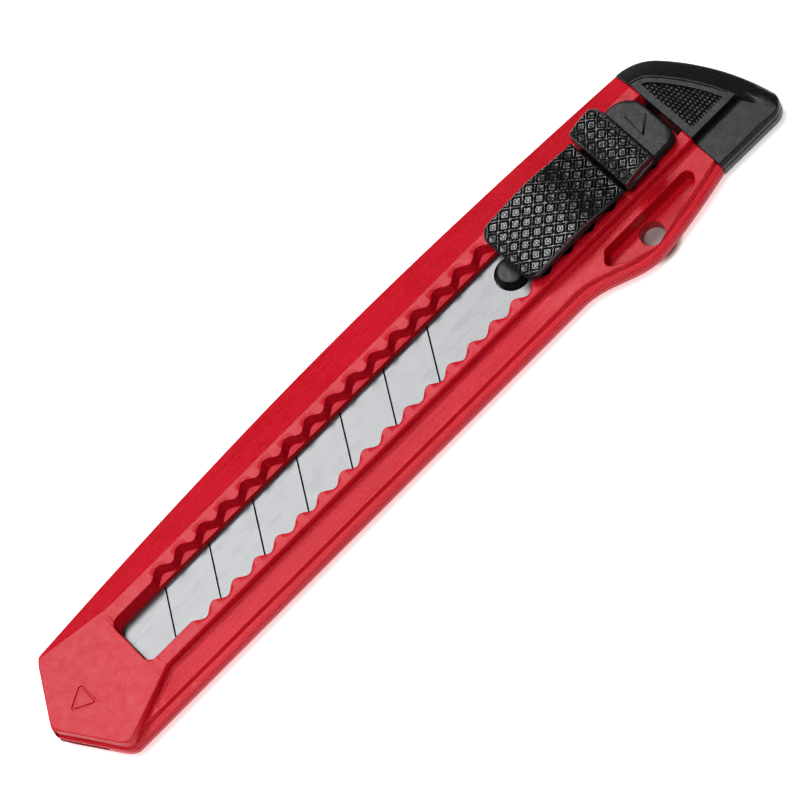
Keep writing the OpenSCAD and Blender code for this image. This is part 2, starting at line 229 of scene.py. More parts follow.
def carve(obj, cutters):
    """Cuts closed shapes out of obj, then removes them."""
    for cutter in cutters:
        mod = obj.modifiers.new("Cut", "BOOLEAN")
        mod.operation = "DIFFERENCE"
        mod.solver = "EXACT"
        mod.object = cutter
    depsgraph = bpy.context.evaluated_depsgraph_get()
    cut = bpy.data.meshes.new_from_object(obj.evaluated_get(depsgraph))
    obj.modifiers.clear()
    old = obj.data
    obj.data = cut
    cut.name = old.name
    bpy.data.meshes.remove(old)
    for cutter in cutters:
        bpy.data.objects.remove(cutter)
    return obj


def piece(obj, body, material, nodes, sharp=32):
    """Shading, material and place of a finished mesh."""
    mesh = obj.data
    mesh.materials.clear()
    mesh.materials.append(material)
    for polygon in mesh.polygons:
        polygon.use_smooth = True
        polygon.material_index = 0
    mesh.set_sharp_from_angle(angle=math.radians(sharp))
    mod = obj.modifiers.new("Weighted", "WEIGHTED_NORMAL")
    mod.keep_sharp = True
    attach(obj, body)
    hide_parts(*nodes)
    return obj


def ring_offset(points, d):
    """A closed outline moved outwards by d, for an outline drawn anticlockwise."""
    out = []
    n = len(points)
    for i in range(n):
        a, p, b = Vector(points[i - 1]), Vector(points[i]), Vector(points[(i + 1) % n])
        t = (b - a).normalized()
        out.append((p.x + t.y * d, p.y - t.x * d))
    return out


def add_stack(bm, outline, levels):
    """Adds a closed solid from one outline: levels are (z, offset) pairs."""
    rows = []
    for z, d in levels:
        rows.append([(x, y, z) for x, y in ring_offset(outline, d)])
    add_skin(bm, rows)


def box_outline(x0, x1, y0, y1, r, steps=4):
    return fillet([(x0, y0), (x1, y0), (x1, y1), (x0, y1)], [r] * 4, steps, closed=True)


def circle_outline(x, y, r, count=64):
    return [
        (x + r * math.cos(2 * math.pi * i / count), y + r * math.sin(2 * math.pi * i / count))
        for i in range(count)
    ]


# ---------------------------------------------------------------- materials
def node_material(name):
    mat = bpy.data.materials.new(name)
    mat.use_nodes = True
    tree = mat.node_tree
    return mat, tree, tree.nodes["Principled BSDF"]


def noise(tree, scale, stretch=(1, 1, 1), detail=3.0, rough=0.55):
    coord = tree.nodes.new("ShaderNodeTexCoord")
    place = tree.nodes.new("ShaderNodeMapping")
    place.inputs["Scale"].default_value = stretch
    tex = tree.nodes.new("ShaderNodeTexNoise")
    tex.inputs["Scale"].default_value = scale
    tex.inputs["Detail"].default_value = detail
    tex.inputs["Roughness"].default_value = rough
    tree.links.new(coord.outputs["Object"], place.inputs["Vector"])
    tree.links.new(place.outputs["Vector"], tex.inputs["Vector"])
    return tex.outputs["Fac"]


def spread_range(tree, value, low, high, from_low=0.3, from_high=0.7):
    node = tree.nodes.new("ShaderNodeMapRange")
    node.inputs["From Min"].default_value = from_low
    node.inputs["From Max"].default_value = from_high
    node.inputs["To Min"].default_value = low
    node.inputs["To Max"].default_value = high
    tree.links.new(value, node.inputs["Value"])
    return node.outputs["Result"]


def blend_colour(tree, value, a, b):
    node = tree.nodes.new("ShaderNodeMix")
    node.data_type = "RGBA"
    for socket, colour in (("A", a), ("B", b)):
        target = [s for s in node.inputs if s.name == socket and s.type == "RGBA"][0]
        if isinstance(colour, tuple):
            target.default_value = (*colour, 1)
        else:
            tree.links.new(colour, target)
    factor = [s for s in node.inputs if s.name == "Factor" and s.type == "VALUE"][0]
    tree.links.new(value, factor)
    return [s for s in node.outputs if s.type == "RGBA"][0]


def add_bump(tree, shader, heights):
    """heights are (value, strength, distance in metres), one bump after another."""
    last = None
    for value, strength, distance in heights:
        bump = tree.nodes.new("ShaderNodeBump")
        bump.inputs["Strength"].default_value = strength
        bump.inputs["Distance"].default_value = distance
        tree.links.new(value, bump.inputs["Height"])
        if last is not None:
            tree.links.new(last, bump.inputs["Normal"])
        last = bump.outputs["Normal"]
    tree.links.new(last, shader.inputs["Normal"])


def above(tree, height, low, high):
    """low under a height on the part, in metres, and high above it."""
    coord = tree.nodes.new("ShaderNodeTexCoord")
    split = tree.nodes.new("ShaderNodeSeparateXYZ")
    tree.links.new(coord.outputs["Object"], split.inputs["Vector"])
    return spread_range(tree, split.outputs["Z"], low, high, height, height + 0.0002)


STREAK = (0.36, 0.001, 0.006)  # colour of the flow lines
MATT, GLOSSY = 0.2, 0.8  # specular levels of the plastics and of the grips


def plastic(name, dark, light, speck, rough_low, rough_high, grain, flow=0.0, grip=None):
    """Moulded plastic: cloudy colour and fine grain, flow lines that are stronger below the height
    flow, and grips that are glossier above the height grip."""
    mat, tree, shader = node_material(name)
    cloud = spread_range(tree, noise(tree, 90, detail=4), 0, 1)
    base = blend_colour(tree, cloud, dark, light)
    dots = spread_range(tree, noise(tree, 3600, detail=2), 0, 0.7, 0.42, 0.72)
    base = blend_colour(tree, dots, base, speck)
    heights = [(noise(tree, 3300, detail=2), grain, 0.00004)]
    if flow:
        lines = noise(tree, 60, (1, 34, 34), detail=5, rough=0.6)
        streak = spread_range(tree, lines, 0, 1, 0.52, 0.7)
        low_down = tree.nodes.new("ShaderNodeMath")
        low_down.operation = "MULTIPLY"
        tree.links.new(streak, low_down.inputs[0])
        tree.links.new(above(tree, flow, 1.0, 0.2), low_down.inputs[1])
        base = blend_colour(tree, low_down.outputs["Value"], base, STREAK)
        heights.append((lines, 0.12, 0.00006))
    tree.links.new(base, shader.inputs["Base Color"])
    tree.links.new(
        spread_range(tree, noise(tree, 700, detail=4), rough_low, rough_high),
        shader.inputs["Roughness"],
    )
    shader.inputs["Specular IOR Level"].default_value = MATT
    if grip:
        tree.links.new(above(tree, grip, MATT, GLOSSY), shader.inputs["Specular IOR Level"])
    add_bump(tree, shader, heights)
    return mat


def steel(name, dark, light, rough_low, rough_high, across, bump):
    """Brushed steel, with the brush lines along x."""
    mat, tree, shader = node_material(name)
    lines = noise(tree, 260, (0.35, across, across), detail=6, rough=0.65)
    cloud = noise(tree, 420, (0.7, 1.3, 1), detail=3)
    base = blend_colour(tree, spread_range(tree, lines, 0, 1, 0.35, 0.65), dark, light)
    base = blend_colour(tree, spread_range(tree, cloud, 0, 0.35, 0.45, 0.75), base, dark)
    tree.links.new(base, shader.inputs["Base Color"])
    tree.links.new(
        spread_range(tree, lines, rough_low, rough_high, 0.35, 0.65), shader.inputs["Roughness"]
    )
    shader.inputs["Metallic"].default_value = 1.0
    add_bump(tree, shader, [(lines, bump, 0.00002), (cloud, bump * 0.6, 0.00003)])
    return mat


RED = plastic(
    "red_plastic",
    dark=(0.385, 0.002, 0.012), light=(0.45, 0.004, 0.019), speck=(0.60, 0.03, 0.045),
    rough_low=0.26, rough_high=0.36, grain=0.5, flow=(SEAT_Z + DECK_H + 0.4) * MM,
)
BLACK = plastic(
    "black_plastic",
    dark=(0.005, 0.005, 0.006), light=(0.010, 0.010, 0.010), speck=(0.03, 0.03, 0.03),
    rough_low=0.24, rough_high=0.33, grain=0.4, grip=(SEAT_Z + PAD_LOW + 0.85) * MM,
)
STEEL = steel(
    "blade_steel", dark=(0.085, 0.086, 0.089), light=(0.145, 0.147, 0.150),
    rough_low=0.28, rough_high=0.40, across=9, bump=0.3,
)
SPRING = steel(
    "spring_steel", dark=(0.42, 0.42, 0.43), light=(0.60, 0.60, 0.60),
    rough_low=0.22, rough_high=0.34, across=4, bump=0.12,
)


# ---------------------------------------------------------------- outline of the handle
def back_arc(x):
    return BACK_W - x * x / (2 * BACK_RADIUS)


def back_line(x):
    return soft_min(
        min(back_arc(x), line_y((FLARE_X, back_arc(FLARE_X)), (SHOULDER_X, SHOULDER_BACK), x)),
        line_y((TIP_X, TIP_Y + 0.3), (SHOULDER_X, SHOULDER_BACK), x),
        1.7,
    )


def front_line(x):
    if x > BULGE_PEAK:
        t = clamp01((x - BULGE_PEAK) / (JOINT_X - BULGE_PEAK))
        return mix(-BULGE_W, -CAP_FLANGE, t**1.3)
    if x > BULGE_START:
        return mix(-FLANGE_W, -BULGE_W, ease((x - BULGE_START) / (BULGE_PEAK - BULGE_START)))
    return soft_max(
        -FLANGE_W, line_y((TIP_X, TIP_Y - 0.3), (SHOULDER_X + 0.5, -FLANGE_W), x), 2.1
    )


def tip_round(x):
    s = clamp01((x - TIP_X) / 1.0)
    return math.sqrt(max(0.0, 1 - (1 - s) ** 2))


def back_edge(x):
    return TIP_Y + (back_line(x) - TIP_Y) * tip_round(x)


def front_edge(x):
    return TIP_Y + (front_line(x) - TIP_Y) * tip_round(x)


def slant(line, x):
    """How much wider an inset is, measured along y, where the edge is slanted."""
    h = 0.05
    s = (line(x + h) - line(x - h)) / (2 * h)
    return min(2.3, math.sqrt(1 + s * s))


def middle(x):
    return TIP_Y * (1 - clamp01((x - TIP_X) / 4))


def rim_back(x):
    k = slant(back_line, x)
    return min(
        max(RIM_W, line_y((FLARE_X, RIM_W), (SHOULDER_X, 9.9), x)), back_edge(x) - 0.22 * k
    )


def rim_front(x):
    k = slant(front_line, x)
    return max(
        min(-RIM_W, line_y((FLARE_X, -RIM_W), (FLARE_X - 12.8, -12.7), x)),
        front_edge(x) + 0.6 * k,
    )


def nick(x):
    """Small groove where the handle meets the cap."""
    return 0.14 * clamp01((x - (JOINT_X - 0.14)) / 0.14)


def tip_height(x, low, high, r):
    t = clamp01((x - TIP_X) / r)
    return mix(low, high, math.sqrt(max(0.0, 1 - (1 - t) ** 2)))


# ---------------------------------------------------------------- front shell
def notch_wave(x):
    if x < FIRST_NOTCH - NOTCH_PITCH / 2:
        return 0.0
    if x > FIRST_NOTCH + (NOTCH_COUNT - 0.5) * NOTCH_PITCH:
        return 0.0
    return (1 + math.cos(2 * math.pi * (x - FIRST_NOTCH) / NOTCH_PITCH)) / 2


def half_at(x, x0, half, r):
    if x <= x0:
        return 0.0
    if x < x0 + r:
        return half - r + math.sqrt(max(0.0, r * r - (x0 + r - x) ** 2))
    return half


# The window's wall from the rim down. The last value is False above the ledge, True where the wall
# meets it and None below it.
WALLS = [  # height, start past the window's end, corner radius, extra half width, ledge
    (RIM_H, -0.2, 1.9, 0.2, False),
    (RIM_H - 0.06, -0.07, 1.77, 0.07, False),
    (RIM_H - 0.2, 0.0, 1.7, 0.0, False),
    (LEDGE_H + 0.1, 0.16, 1.6, 0.05, True),
    (LEDGE_H, 0.18, 1.6, -0.02, True),
    (LEDGE_H, 0.2, 1.6, 0.16, None),
    (LEDGE_H - 0.05, 0.21, 1.5, 0.05, None),
    (LEDGE_H - 0.18, 0.22, 1.5, 0.0, None),
    (CHANNEL_TOP, 0.22, 1.5, 0.0, None),
]


def end_wall(x):
    """Height of the wall at the window's nose end."""
    for (z0, start0, *_), (z1, start1, *_) in zip(WALLS, WALLS[1:]):
        if WINDOW_X + start0 <= x < WINDOW_X + start1:
            return mix(z0, z1, (x - WINDOW_X - start0) / (start1 - start0))
    return RIM_H


def wall_points(x, side):
    """(half width, height) down the window's wall at x. Only the back side has a ledge."""
    wave = notch_wave(x)
    top, low = WINDOW_W + wave * NOTCH_TOP, SLOT_W + 0.04 + wave * NOTCH_LOW
    out = []
    half = math.inf
    for z, start, r, extra, ledge in WALLS:
        if side < 0:
            reach = top + (extra if ledge is False else -0.06)
        else:
            reach = (top if ledge is False else low if ledge else SLOT_W) + extra
        half = min(half, reach)
        out.append((half_at(x, WINDOW_X + start, half, r), z))
    closed = [(w, z if w > 0 else end_wall(x)) for w, z in out[:-1]]
    return closed + [(out[-1][0], CHANNEL_TOP)]


def bevel_side(x):
    """The shell's back side, with the bevel: its edge, its lowest height, its points and their radii."""
    e = back_edge(x) - nick(x)
    k = slant(back_line, x)
    rim = min(rim_back(x) - nick(x), e - 0.06)
    low = CHANNEL_TOP if e < CHANNEL_W + 0.05 else 0.0
    outer = [
        (e - 0.18 * k, low),
        (e, low + 0.16),
        (e, max(low + 0.3, RIM_H - nick(x) - BEVEL_SLOPE * (e - rim))),
        (rim, RIM_H - nick(x)),
        (middle(x), RIM_H - nick(x)),
    ]
    return e, low, outer, [0, 0.1, 0.45 * k, 0.34 * k, 0]


def deck_side(x):
    """The shell's front side, with the flange, the deck and its thin line, in the same form."""
    e = front_edge(x) + nick(x)
    k = slant(front_line, x)
    rim = max(rim_front(x), e + 0.05)
    low = CHANNEL_TOP if e > -CHANNEL_W - 0.05 else 0.0
    foot = rim - 0.16
    step_top = min(e + 1.62, foot - 0.02)
    step_foot = min(e + 1.2, step_top - 0.03)
    sag = 0.22 * clamp01((BULGE_START - x) / 10)
    room = clamp01((foot - step_top - 1.2) / 0.5)
    outer = [
        (e + 0.18 * k, low),
        (e, low + 0.16),
        (e + 0.04, FLANGE_TOP),
        (step_foot, FLANGE_TOP + 0.02),
        (step_top, DECK_H + (0.04 - sag) * room),
        (min(step_top + 0.3, foot - 0.015), DECK_H - sag * room),
        (mix(foot, foot - 0.86, room), DECK_H),
        (mix(foot, foot - 0.78, room), DECK_H - 0.05 * room),
        (mix(foot, foot - 0.7, room), DECK_H),
        (foot, DECK_H),
        (rim, RIM_H - nick(x)),
        (middle(x), RIM_H - nick(x)),
    ]
    return e, low, outer, [0, 0, 0.22 * k, 0.1, 0.1, 0.05, 0, 0, 0, 0.14, 0.3 * k, 0]


def front_section(x, side):
    """One half of the front shell's cross-section: from the joint plane over the top to the window."""
    mid = middle(x)
    e, low, outer, radii = bevel_side(x) if side > 0 else deck_side(x)
    points = fillet(outer, radii)[:-1]
    top = tip_height(x, 0.3, RIM_H, 0.7)
    if x < WINDOW_X - 1:
        window = [(mid, RIM_H)] * (len(WALLS) - 1) + [(mid, CHANNEL_TOP)]
    else:
        window = [(side * w, z) for w, z in wall_points(x, side)]
    channel = min(CHANNEL_W, abs(e))
    roof = side * channel if e * side > 0 else mid
    lowered = [(y, max(min(z, top), min(z, low + 0.01))) for y, z in points + window]
    closed = lowered + [(roof, CHANNEL_TOP), (roof, low)]
    inner = max if side > 0 else min
    return [(x, inner(mid, y), z) for y, z in closed]


def off_middle(rows, i, j, k):
    """False for a face that lies wholly on the plane between the two halves."""
    for row, q in ((i, j), (i, k), (i + 1, k), (i + 1, j)):
        x, y, z = rows[row][q]
        if abs(y - middle(x)) > 1e-6:
            return True
    return False


def front_stations():
    tip = [TIP_X + t for t in (0.0, 0.02, 0.06, 0.13, 0.22, 0.34, 0.5, 0.7, 1.0, 1.5, 2.2, 3.0, 3.6)]
    tip += spread(TIP_X + 4.0, SHOULDER_X - 1.48, 12)
    shoulder = spread(SHOULDER_X - 1.4, SHOULDER_X + 1.6, 20)
    face = spread(SHOULDER_X + 2.0, WINDOW_X - 1.5, 24)
    ends = []
    for w in WALLS:
        x0 = WINDOW_X + w[1]
        ends += [x0 - 1e-4, x0 + 1e-4]
    corner = [WINDOW_X + t for t in (-1.0, 0.46, 0.55, 0.68, 0.85, 1.05, 1.3, 1.6, 1.9, 2.4, 3.0)]
    plain = spread(WINDOW_X + 3.5, FIRST_NOTCH - NOTCH_PITCH / 2, 14)
    count = int(round((JOINT_X - 0.4 - plain[-1]) / (NOTCH_PITCH / 18)))
    notched = spread(plain[-1], JOINT_X - 0.4, count)
    rear = [JOINT_X - 0.14, JOINT_X]
    xs = sorted(set(tip + shoulder + face + ends + corner + plain + notched + rear))
    flare = [FLARE_X - 0.4, FLARE_X, FLARE_X + 0.4, FLARE_X - 13.2, FLARE_X - 12.8]
    return sorted(set(xs + flare))


def pocket_outline(grow):
    corners = [(BULGE_PEAK + dx, y) for dx, y, r in POCKET_CORNERS]
    radii = [r for dx, y, r in POCKET_CORNERS]
    return ring_offset(fillet(corners, radii, 6, closed=True), grow)


def cutter(name, build):
    bm = bmesh.new()
    build(bm)
    tidy(bm)
    return to_object(name, bm)


def pocket_cutter(top):
    chamfer = [(top - 0.28, 0.06), (top - 0.1, 0.12), (top, 0.26), (top + 3, 0.26 + 3)]
    levels = POCKET_FLOOR + chamfer
    return cutter("pocket_cutter", lambda bm: add_stack(bm, pocket_outline(0), levels))


def mark_cutter():
    """A flat-bottomed groove along a rounded triangle on the nose."""
    def build(bm):
        top = RIM_H + 0.3
        deep = RIM_H - 0.24
        profile = [(0.46, top), (0.23, RIM_H), (0.09, deep), (-0.11, deep), (-0.26, RIM_H), (-0.5, top)]
        rows = []
        base = [(MARK_BASE_X, MARK_Y + side * MARK_HALF) for side in (-1, 1)]
        outline = fillet([(MARK_TIP_X, MARK_Y)] + base, [0.5] * 3, 5, closed=True)
        rings = [ring_offset(outline, d) for d, z in profile]
        for i in range(len(outline) + 1):
            q = i % len(outline)
            rows.append([(ring[q][0], ring[q][1], z) for ring, (d, z) in zip(rings, profile)])
        add_skin(bm, rows, closed=True, caps=False)
    return cutter("mark_cutter", build)


def build_front_shell():
    xs = front_stations()
    bm = bmesh.new()
    for side in (1, -1):
        rows = [front_section(x, side) for x in xs]
        add_skin(bm, rows, keep=off_middle)
    tidy(bm)
    shell = to_object("handle_front_shell_detailed", bm)
    carve(shell, [pocket_cutter(DECK_H), mark_cutter()])
    studs = bmesh.new()
    studs.from_mesh(shell.data)
    for x, y in STUD_PLACES:
        levels = [(-STUD_LEN, -0.1), (-STUD_LEN + 0.1, 0), (0.05, 0)]
        add_stack(studs, circle_outline(x, y, STUD_R, 24), levels)
    studs.to_mesh(shell.data)
    studs.free()
    return piece(shell, "handle", RED, ["handle_front_shell"])


# ---------------------------------------------------------------- back shell
def back_section(x):
    b, f = back_edge(x) - nick(x), front_edge(x) + nick(x)
    kb, kf = slant(back_line, x), slant(front_line, x)
    mid = middle(x)
    low_b = CHANNEL_LOW if b < CHANNEL_W + 0.05 else 0.0
    low_f = CHANNEL_LOW if f > -CHANNEL_W - 0.05 else 0.0
    room = (b - f) / 2 - 0.05
    inset = min(BOTTOM_INSET, room)
    floor_z = tip_height(x, FLANGE_LOW - 0.3, -BACK_H + nick(x), 2.0)
    side_z = max(FLANGE_LOW, floor_z + 0.05)
    outer = [
        (b - min(0.1 * kb, room), low_b),
        (b, low_b - 0.14),
        (b, side_z),
        (b - min(inset * kb, room), floor_z),
        (f + min(inset * kf, room), floor_z),
        (f, side_z),
        (f, low_f - 0.14),
        (f + min(0.1 * kf, room), low_f),
    ]
    points = fillet(outer, [0, 0, 0.5, 0.9, 0.9, 0.5, 0, 0], 4)
    c0, c1 = max(f, -CHANNEL_W), min(b, CHANNEL_W)
    open_sled = x > SLED_X0 - SLIDE_TRAVEL - 0.8
    w, z = SLED_W + 0.15, (SLED_LOW - 0.1 if open_sled else CHANNEL_LOW)
    inner = [(c0, low_f), (c0, CHANNEL_LOW), (max(-w, c0), CHANNEL_LOW), (max(-w, c0), z)]
    inner += [(min(w, c1), z), (min(w, c1), CHANNEL_LOW), (c1, CHANNEL_LOW), (c1, low_b)]
    return [(x, y, zz) for y, zz in points + inner]


def build_back_shell():
    sled_start = SLED_X0 - SLIDE_TRAVEL - 0.8
    xs = [x for x in front_stations() if abs(x - sled_start) > 0.02]
    thin = [x for i, x in enumerate(xs) if x < WINDOW_X - 1 or i % 3 == 0 or x > JOINT_X - 0.6]
    xs = sorted(set(thin + [sled_start - 1e-4, sled_start + 1e-4, xs[-1]]))
    bm = bmesh.new()
    add_skin(bm, [back_section(x) for x in xs])
    tidy(bm)
    shell = to_object("handle_back_shell_detailed", bm)

    def hole(bm):
        ring = circle_outline(HANG_X, HANG_Y, HANG_D / 2)
        levels = [(-BACK_H - 1, 1.25), (-BACK_H, 0.25), (-BACK_H + 0.12, 0.08), (-BACK_H + 0.3, 0)]
        levels += [(POCKET_Z - 0.16, 0), (POCKET_Z - 0.04, 0.05), (POCKET_Z + 0.02, 0.14)]
        levels += [(POCKET_Z + 0.6, 0.14)]
        add_stack(bm, ring, levels)

    def pocket(bm):
        add_stack(bm, pocket_outline(0), POCKET_FLOOR + [(2.0, 0.05)])

    carve(shell, [cutter("pocket_floor_cutter", pocket), cutter("hole_cutter", hole)])
    return piece(shell, "handle", RED, ["handle_back_shell"])


# ---------------------------------------------------------------- end cap
def cap_offset(x, d):
    """y of the cap's back outline moved inwards by d."""
    turn = CAP_C2.x + (CAP_R2 - d) * (CAP_C1 - CAP_C2).normalized().x
    if x < turn:
        return on_arc(CAP_C1, CAP_R1 - d, max(x, CAP_C1.x))
    return on_arc(CAP_C2, CAP_R2 - d, x)


def cap_depth(x, y):
    """Distance of a point from the cap's back outline."""
    p = Vector((x, y))
    along = (CAP_C1 - CAP_C2).normalized()
    q = p - CAP_C1
    if x < CAP_C1.x:
        return CAP_C1.y + CAP_R1 - y
    if q.x * along.y - q.y * along.x < 0 and q.length < CAP_R1 + 1:
        return CAP_R1 - q.length
    return CAP_R2 - (p - CAP_C2).length


def cap_bevel(d):
    edge = RIM_H - BEVEL_SLOPE * 1.12 * PANEL_EDGE
    t = clamp01(d / PANEL_EDGE)
    return edge - 0.5 * (1 - clamp01(d / 0.5)) ** 2 + (RIM_H - edge) * (t + 0.1 * t * (1 - t))


def cap_front(x):
    if x > CAP_C3.x:
        return 2 * CAP_C3.y - on_arc(CAP_C3, CAP_R3, x)
    return -CAP_FLANGE - 0.2 * (x - JOINT_X) / (CAP_C3.x - JOINT_X)


def panel_step(x):
    """Width of the step between the deck and the raised panel, which fades out past the tip."""
    return 0.14 + 2.0 * max(0.0, x - PANEL_TIP + 0.2)


def cap_height(x, y):
    width = panel_step(x)
    t = smooth((y - (PANEL_Y - width)) / width)
    top = mix(DECK_H, RIM_H, t)
    return soft_min(top, cap_bevel(cap_depth(x, y)), 0.12)


def cap_section(x):
    cut = 0.14 * clamp01((JOINT_X + 0.14 - x) / 0.14)
    f = cap_front(x) + cut
    b = max(cap_offset(x, 0), f + 0.3) - cut
    wall = max(min(PANEL_Y - panel_step(x), b - 0.2), f + 0.1)
    crest = max(min(PANEL_Y, b - 0.15), wall + 0.01)
    edge = max(min(cap_offset(x, PANEL_EDGE), b - 0.1), crest + 0.02)
    height_f = min(DECK_H, cap_height(x, f + 0.3))
    groove = clamp01((height_f - 1.2) / 0.3)
    base = -BACK_H + cut
    inset = min(1.9, (b - f) / 2 - 0.05)
    ends = clamp01((END_X - x) / 1.6)
    base = mix(-1.9, base, math.sqrt(max(0.0, 1 - (1 - ends) ** 2)))
    low = max(base + 0.1, -1.75)
    side = [
        (f + inset, base), (f + 0.02, low), (f, -0.24), (f + 0.14, -0.1), (f, 0.04),
        (f, mix(0.08, 1.12, groove)), (f + 0.12 * groove, mix(0.1, 1.24, groove)),
        (f + 0.05, mix(0.12, 1.34, groove)), (f + 0.08, max(height_f - 0.2, 0.13)),
        (f + 0.16, max(height_f - 0.08, 0.14)), (f + 0.34, height_f),
    ]
    ys = spread(f + 0.34, wall, 14)[1:]
    ys += [mix(wall, crest, t) for t in (0.35, 0.7, 1.0)]
    top = [(y, cap_height(x, y)) for y in ys]
    # frame, recess and its pattern
    r_front = max(min(RECESS_Y, edge - 0.3), crest + 0.01)
    r_back = max(min(cap_offset(x, RECESS_EDGE), edge - 0.2), r_front + 0.02)
    inside = RECESS_X <= x <= RECESS_TIP
    depth = RECESS_DEPTH * clamp01((r_back - r_front) / 0.5) if inside else 0.0
    slope = min(0.22, (r_back - r_front) / 4)

    def floor_at(y):
        z = cap_height(x, y)
        if depth <= 0:
            return z
        rise = min(1.0, (y - r_front) / slope, (r_back - y) / slope)
        u, v = (x - RECESS_X) / 0.6, (y - RECESS_Y) / 0.86
        u += 0.5 * (math.floor(v) % 2)
        du, dv = abs(u - math.floor(u) - 0.5) * 2, abs(v - math.floor(v) - 0.5) * 2
        stud = smooth((1 - max(du, dv)) / 0.34) * 0.34
        return z - depth * smooth(rise) + stud * clamp01(rise)

    top += [(mix(crest, r_front, 0.5), cap_height(x, mix(crest, r_front, 0.5)))]
    top += [(y, floor_at(y)) for y in spread(r_front, r_front + slope, 4)]
    top += [(y, floor_at(y)) for y in spread(r_front + slope, r_back - slope, RECESS_STEPS)[1:-1]]
    top += [(y, floor_at(y)) for y in spread(r_back - slope, r_back, 4)]
    # thin line inside the panel's edge
    line = [(0.66, 0.0), (0.54, 0.0), (0.42, 0.2), (0.3, 0.0), (0.14, 0.0)]
    wider = slant(lambda q: cap_offset(q, PANEL_EDGE), x)
    fade = clamp01((edge - r_back - 0.8) / 0.3)
    for back, deep in line:
        y = min(max(edge - back * wider, r_back + 0.01), edge - 0.01)
        top.append((y, cap_height(x, y) - deep * fade))
    for i in range(BEVEL_STEPS + 1):
        y = mix(edge, b, (i / BEVEL_STEPS) ** 0.85)
        top.append((y, cap_height(x, y)))
    top[-1] = (b, max(0.04, cap_height(x, b) - 0.1))
    back_side = [(b - 0.12, -0.1), (b, -0.24), (b, low), (b - inset, base)]
    ordered = side + top
    fixed = []
    last = -1e9
    for y, z in ordered[5:]:
        last = max(last, y)
        fixed.append((x, min(last, b), z - cut * (z > 0.5)))
    points = [(x, y, z) for y, z in ordered[:5]] + fixed
    return points + [(x, y, z) for y, z in back_side]


def build_cap():
    xs = [JOINT_X + t for t in (0.0, 0.07, 0.14, 0.3, 0.6, 0.9, 1.15)]
    xs += [RECESS_X - 1e-4, RECESS_X + 1e-4]
    xs += spread(RECESS_X + 0.1, RECESS_TIP, 76) + spread(RECESS_TIP + 0.12, PANEL_TIP + 0.6, 16)
    xs += spread(PANEL_TIP + 0.8, END_X - 0.6, 20)
    xs += [END_X - t for t in (0.45, 0.3, 0.2, 0.12, 0.06, 0.02, 0.0)]
    bm = bmesh.new()
    add_skin(bm, [cap_section(x) for x in sorted(set(xs))])
    for y0, y1 in ((-PLUG_Y1, -PLUG_Y0), (PLUG_Y0, PLUG_Y1)):
        outline = box_outline(JOINT_X - PLUG_LEN, JOINT_X + 0.8, y0, y1, 0.5)
        add_stack(bm, outline, [(SLED_LOW, -0.3), (SLED_LOW + 0.3, 0), (-0.4, 0), (-0.12, -0.28)])
    tidy(bm)
    cap = to_object("end_cap_detailed", bm)
    return piece(cap, "cap", BLACK, ["end_cap"], 40)


# ---------------------------------------------------------------- knurled slider parts
def knurl(x, y, hx, hy, cell, dimple):
    """Height of the grip pattern: a diamond lattice with a raised square in each cell."""
    u, v = x / hx, y / hy
    a, b = (u + v) / 2, (u - v) / 2
    a, b = a - math.floor(a), b - math.floor(b)
    m = min(a, 1 - a, b, 1 - b) * cell
    ridge = 1 - smooth((m - 0.1) / 0.1)
    pad = smooth((m - 0.3) / 0.1)
    pit = smooth((m - 0.62) / 0.12) * dimple
    return max(0.42 * ridge, 0.37 * pad - 0.2 * pit)


def plate(bm, xs, half_of, top_of, low_of, edge_r, pattern, lanes=136):
    """A closed plate: half width, top and underside as functions of x, with a patterned top."""
    rows = []
    for x, end in xs:
        half = half_of(x)
        low = low_of(x)
        section = []
        for i in range(lanes + 1):
            s = -1 + 2 * i / lanes
            s = s * (1 + 0.18 * (1 - s * s))
            y = half * s
            d = min(half - abs(y), end)
            t = clamp01(d / edge_r)
            drop = edge_r * (1 - math.sqrt(max(0.0, 1 - (1 - t) ** 2)))
            z = top_of(x, y) - drop
            z += pattern(x, y) * smooth((d - 0.1) / 0.3)
            section.append((x, y, max(z, low + 0.02)))
        # the side wall has a thin groove above a rounded bead
        top_edge = min(section[0][2], section[-1][2])
        wall = max(low + 0.3, mix(low, top_edge, 0.55))
        bead = mix(low, wall, 0.72)
        flat = [
            (half, wall), (half - 0.2, mix(wall, bead, 0.4)), (half - 0.2, mix(wall, bead, 0.8)),
            (half - 0.06, bead), (half + 0.04, mix(bead, low, 0.25)), (half + 0.02, mix(bead, low, 0.7)),
            (half - 0.2, low),
        ]
        under = [(x, y, z) for y, z in flat]
        under += [(x, 0.0, low)]
        under += [(x, -y, z) for y, z in reversed(flat)]
        rows.append(section + under)
    add_skin(bm, rows)


def profile_height(points):
    """Smooth curve through (x, z) points."""
    def at(x):
        if x <= points[0][0]:
            return points[0][1]
        for (x0, z0), (x1, z1) in zip(points, points[1:]):
            if x <= x1:
                return mix(z0, z1, ease((x - x0) / (x1 - x0)) * 0.5 + 0.5 * (x - x0) / (x1 - x0))
        return points[-1][1]
    return at


def round_half(x, x0, x1, half, r0, r1):
    out = half
    if x < x0 + r0:
        out = min(out, half - r0 + math.sqrt(max(0.0, r0 * r0 - (x0 + r0 - x) ** 2)))
    if x > x1 - r1:
        out = min(out, half - r1 + math.sqrt(max(0.0, r1 * r1 - (x - x1 + r1) ** 2)))
    return out


def end_stations(x0, x1, step):
    """x values with their distance to the nearer end, closer together at the ends."""
    near = [0.0, 0.015, 0.05, 0.11, 0.2, 0.3, 0.42]
    count = int((x1 - x0 - 1.0) / step)
    xs = [x0 + t for t in near] + spread(x0 + 0.5, x1 - 0.5, count) + [x1 - t for t in reversed(near)]
    return [(x, min(x - x0, x1 - x)) for x in xs]


